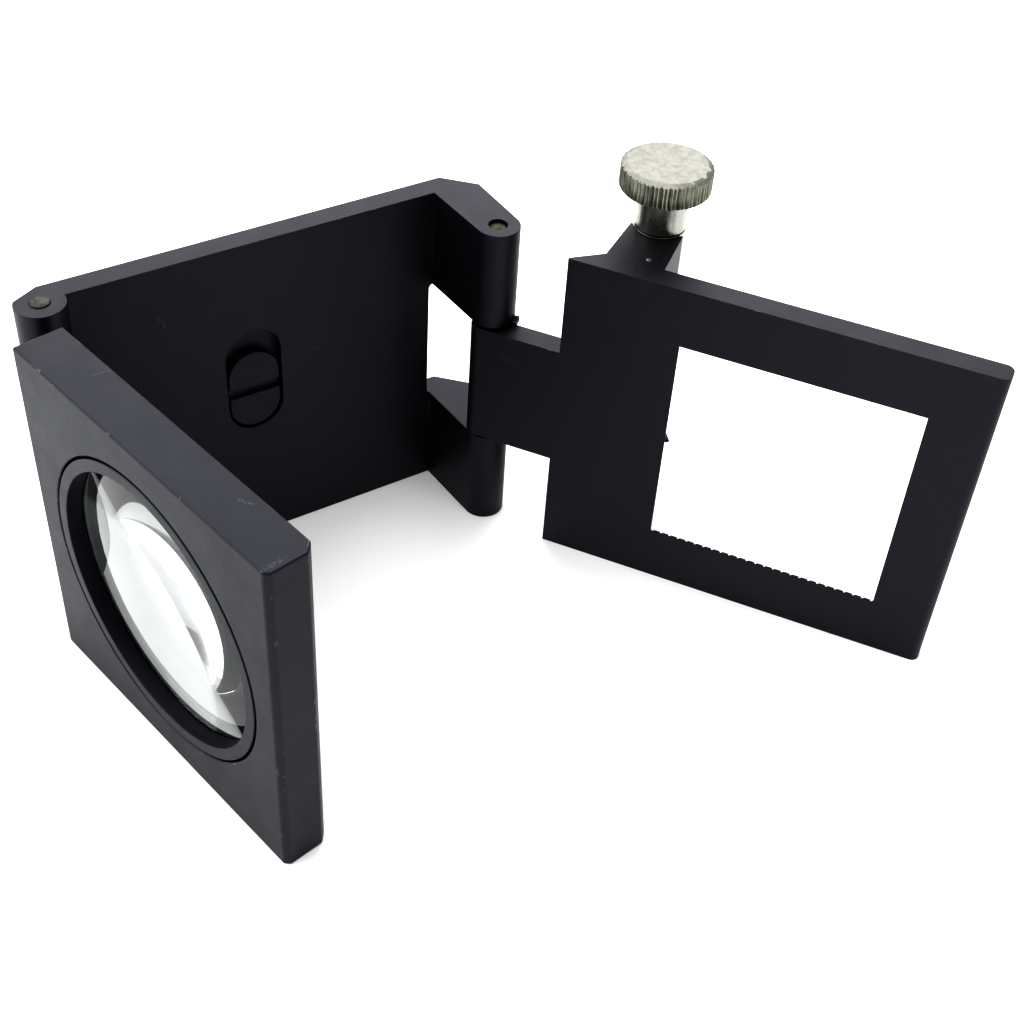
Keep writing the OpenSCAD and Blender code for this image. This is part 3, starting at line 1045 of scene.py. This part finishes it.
@dataclass
class IndexScrew:
    """The knurled knob, its threaded screw, and the nut and index it moves.

    The sizes are in millimetres. level and chamfer sort the knob's faces into
    its top, its side and the flanks of its grooves.
    """

    collar_h: float = 4.25
    level: float = 0.96
    chamfer: float = 0.4
    pitch: float = 1.0
    crest: float = 1.1
    root: float = 0.86
    spindle: float = 0.9
    journal: float = 0.75
    rod_steps: int = 40
    thread_start: float = 1.7
    thread_short: float = 2.6
    thread_steps: int = 28
    flank: float = 0.42
    crest_half: float = 0.05
    sunk: float = 0.05

    def build(self) -> None:
        """Builds the knob, the screw and the index."""
        self.knob()
        self.screw()
        plain_part("knob_pin", STEEL, Break.FINE)
        plain_part("index_nut", TURNED_BRASS, Break.SMALL)
        plain_part("index_pointer", DARK_STEEL, Break.FINE)

    def knob(self) -> None:
        """Makes the plated knob, with painted shade in the grooves of its knurling."""
        bm = merged_copy("knob")
        break_edges(bm, Break.FINE)
        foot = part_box("knob")[0].z + self.collar_h * MM
        axis = middle("knob")
        for face in bm.faces:
            at = face.calc_center_median()
            outwards = Vector((at.x - axis.x, at.y - axis.y, 0)).normalized()
            if at.z < foot:
                face.material_index = 1
            elif face.normal.z > self.chamfer:
                face.material_index = 2
            # groove flanks take the darker nickel: painted shade in the knurling
            elif abs(face.normal.z) < 1 - self.level and face.normal.dot(outwards) < self.level:
                face.material_index = 3
        finish_piece(bm, "knob", NICKEL_KNURLED, NICKEL_BRIGHT, NICKEL_SATIN, NICKEL_GROOVE_SHADED)

    def screw(self) -> None:
        """Makes the screw: a spindle, a thread of real pitch and a journal."""
        low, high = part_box("index_screw")
        centre = middle("index_screw")
        length = (high.z - low.z) / MM
        thread_end = (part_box("guide_tube")[1].z - low.z) / MM - self.thread_short
        thread_start = self.thread_start
        bm = turned(
            [
                (0, 0),
                (self.journal, 0),
                (self.journal, thread_start),
                (self.root, thread_start),
                (self.root, thread_end),
                (self.spindle, thread_end),
                (self.spindle, length),
                (0, length),
            ],
            self.rod_steps,
        )
        to_row(bm, Matrix.Translation((centre.x, centre.y, low.z)))
        thread = self.thread(thread_start, thread_end)
        to_row(thread, Matrix.Translation((centre.x, centre.y, low.z)))
        joined = bpy.data.meshes.new("thread")
        thread.to_mesh(joined)
        thread.free()
        bm.from_mesh(joined)
        bpy.data.meshes.remove(joined)
        finish_piece(bm, "index_screw", STEEL)

    def thread(self, start: float, end: float) -> bmesh.types.BMesh:
        """Spins one V ridge up a helix.

        Args:
            start: the height where the thread begins, in millimetres.
            end: the height where it ends.

        Returns:
            The ridge, closed at both ends.
        """
        around = self.thread_steps
        half = self.pitch * self.flank
        turns = math.floor((end - start - 2 * half) / self.pitch)
        bm = bmesh.new()
        sunk = self.root - self.sunk
        corners = [
            bm.verts.new((sunk, 0, start)),
            bm.verts.new((self.crest, 0, start + half - self.crest_half)),
            bm.verts.new((self.crest, 0, start + half + self.crest_half)),
            bm.verts.new((sunk, 0, start + 2 * half)),
        ]
        ridge = bm.faces.new(corners)
        bmesh.ops.spin(
            bm,
            geom=[ridge],
            cent=(0, 0, 0),
            axis=(0, 0, 1),
            dvec=(0, 0, self.pitch / around),
            angle=math.tau * turns,
            steps=around * turns,
        )
        bmesh.ops.recalc_face_normals(bm, faces=bm.faces)
        return bm


@dataclass
class Catch:
    """The sliding catch in the back plate."""

    def build(self) -> None:
        """Builds the button, its retainer and its rivet."""
        plain_part("slide_catch", ANODISED, Break.SMALL)
        plain_part("catch_retainer", ANODISED, Break.SMALL)
        plain_part("catch_rivet", DARK_STEEL, Break.FINE)


# -------------------------------------------------------------------- the stage


@dataclass(frozen=True)
class Softbox:
    """A soft rectangular light that points at the loupe."""

    name: str
    at: tuple[float, float, float]
    size: tuple[float, float]
    radiance: float
    colour: str = "#ffffff"

    def place(self, target: Vector) -> None:
        """Adds the light, aimed at a target, with its power from its radiance."""
        lamp = bpy.data.lights.new(self.name, "AREA")
        lamp.shape = "RECTANGLE"
        lamp.size, lamp.size_y = self.size
        lamp.energy = self.radiance * math.pi * self.size[0] * self.size[1]
        lamp.color = linear(self.colour)[:3]
        holder = bpy.data.objects.new(self.name, lamp)
        bpy.context.scene.collection.objects.link(holder)
        start = Vector(self.at)
        aim = (target - start).to_track_quat("-Z", "Y").to_matrix().to_4x4()
        holder.matrix_world = Matrix.Translation(start) @ aim


@dataclass
class Studio:
    """The pale floor, the soft lights and the camera."""

    floor_half: float = 0.9
    floor_drop: float = 0.02
    surround: float = 0.56
    focus: tuple[float, float, float] = (0.01, -0.02, 0.02)
    lights: tuple[Softbox, ...] = (
        Softbox("key_above_behind", (0.26, 0.42, 0.42), (0.8, 0.6), 1.75),
        Softbox("overhead", (0.0, -0.05, 0.65), (0.6, 0.6), 1.35),
        Softbox("left_floor", (-0.34, 0.16, 0.36), (0.4, 0.4), 2.2),
        Softbox("left_panel", (-0.5, 0.36, 0.10), (0.5, 0.4), 2.0),
    )
    camera_at: tuple[float, float, float] = (-0.05304, -0.12425, 0.12494)
    camera_turn: tuple[float, float, float] = (-34.94, 47.65, 4.22)
    lens_mm: float = 54.77
    shift: tuple[float, float] = (-0.0002, -0.0042)
    clip_start: float = 0.005
    tone: str = "Standard"
    contrast: str = "Very High Contrast"

    def build(self) -> None:
        """Builds the floor, the surroundings, the lights and the camera."""
        self.floor()
        self.surroundings()
        for light in self.lights:
            light.place(Vector(self.focus))
        self.camera()
        view = bpy.context.scene.view_settings
        view.view_transform = self.tone
        view.look = self.contrast

    def floor(self) -> None:
        """Lays a plain white floor just under the leaves."""
        bm = bmesh.new()
        bmesh.ops.create_grid(bm, x_segments=1, y_segments=1, size=self.floor_half)
        bmesh.ops.translate(bm, vec=(0, 0, -self.floor_drop * MM), verts=bm.verts)
        mesh = bpy.data.meshes.new("floor")
        bm.to_mesh(mesh)
        bm.free()
        ground = bpy.data.objects.new("floor", mesh)
        bpy.context.scene.collection.objects.link(ground)
        paper = bpy.data.materials.new("paper_white")
        paper.use_nodes = True
        paper.node_tree.nodes.clear()
        shader = add(
            paper.node_tree,
            "ShaderNodeBsdfPrincipled",
            {"Base Color": linear("#f7f8f7"), "Roughness": 0.85, "Specular IOR Level": 0.2},
        )
        add(paper.node_tree, "ShaderNodeOutputMaterial", {"Surface": shader.outputs[0]})
        mesh.materials.append(paper)

    def surroundings(self) -> None:
        """Lights the scene evenly from all round."""
        world = bpy.data.worlds.new("surroundings")
        world.use_nodes = True
        world.node_tree.nodes.clear()
        back = add(
            world.node_tree,
            "ShaderNodeBackground",
            {"Color": linear("#ffffff"), "Strength": self.surround},
        )
        add(world.node_tree, "ShaderNodeOutputWorld", {"Surface": back.outputs[0]})
        bpy.context.scene.world = world

    def camera(self) -> None:
        """Sets the camera at the viewing angle."""
        data = bpy.data.cameras.new("camera")
        data.lens = self.lens_mm
        data.shift_x, data.shift_y = self.shift
        data.clip_start = self.clip_start
        holder = bpy.data.objects.new("camera", data)
        bpy.context.scene.collection.objects.link(holder)
        yaw, pitch, roll = (math.radians(a) for a in self.camera_turn)
        holder.matrix_world = (
            Matrix.Translation(self.camera_at)
            @ Matrix.Rotation(yaw, 4, "Z")
            @ Matrix.Rotation(pitch, 4, "X")
            @ Matrix.Rotation(roll, 4, "Z")
        )
        bpy.context.scene.camera = holder


def main() -> None:
    """Builds the loupe and its stage."""
    logging.basicConfig(level=logging.INFO, format="%(name)s: %(message)s")
    for part in (BackPlate(), LensLeaf(), BaseLeaf(), IndexScrew(), Catch(), Studio()):
        part.build()
        log.info("%s built", type(part).__name__)


if __name__ == "__main__":
    main()
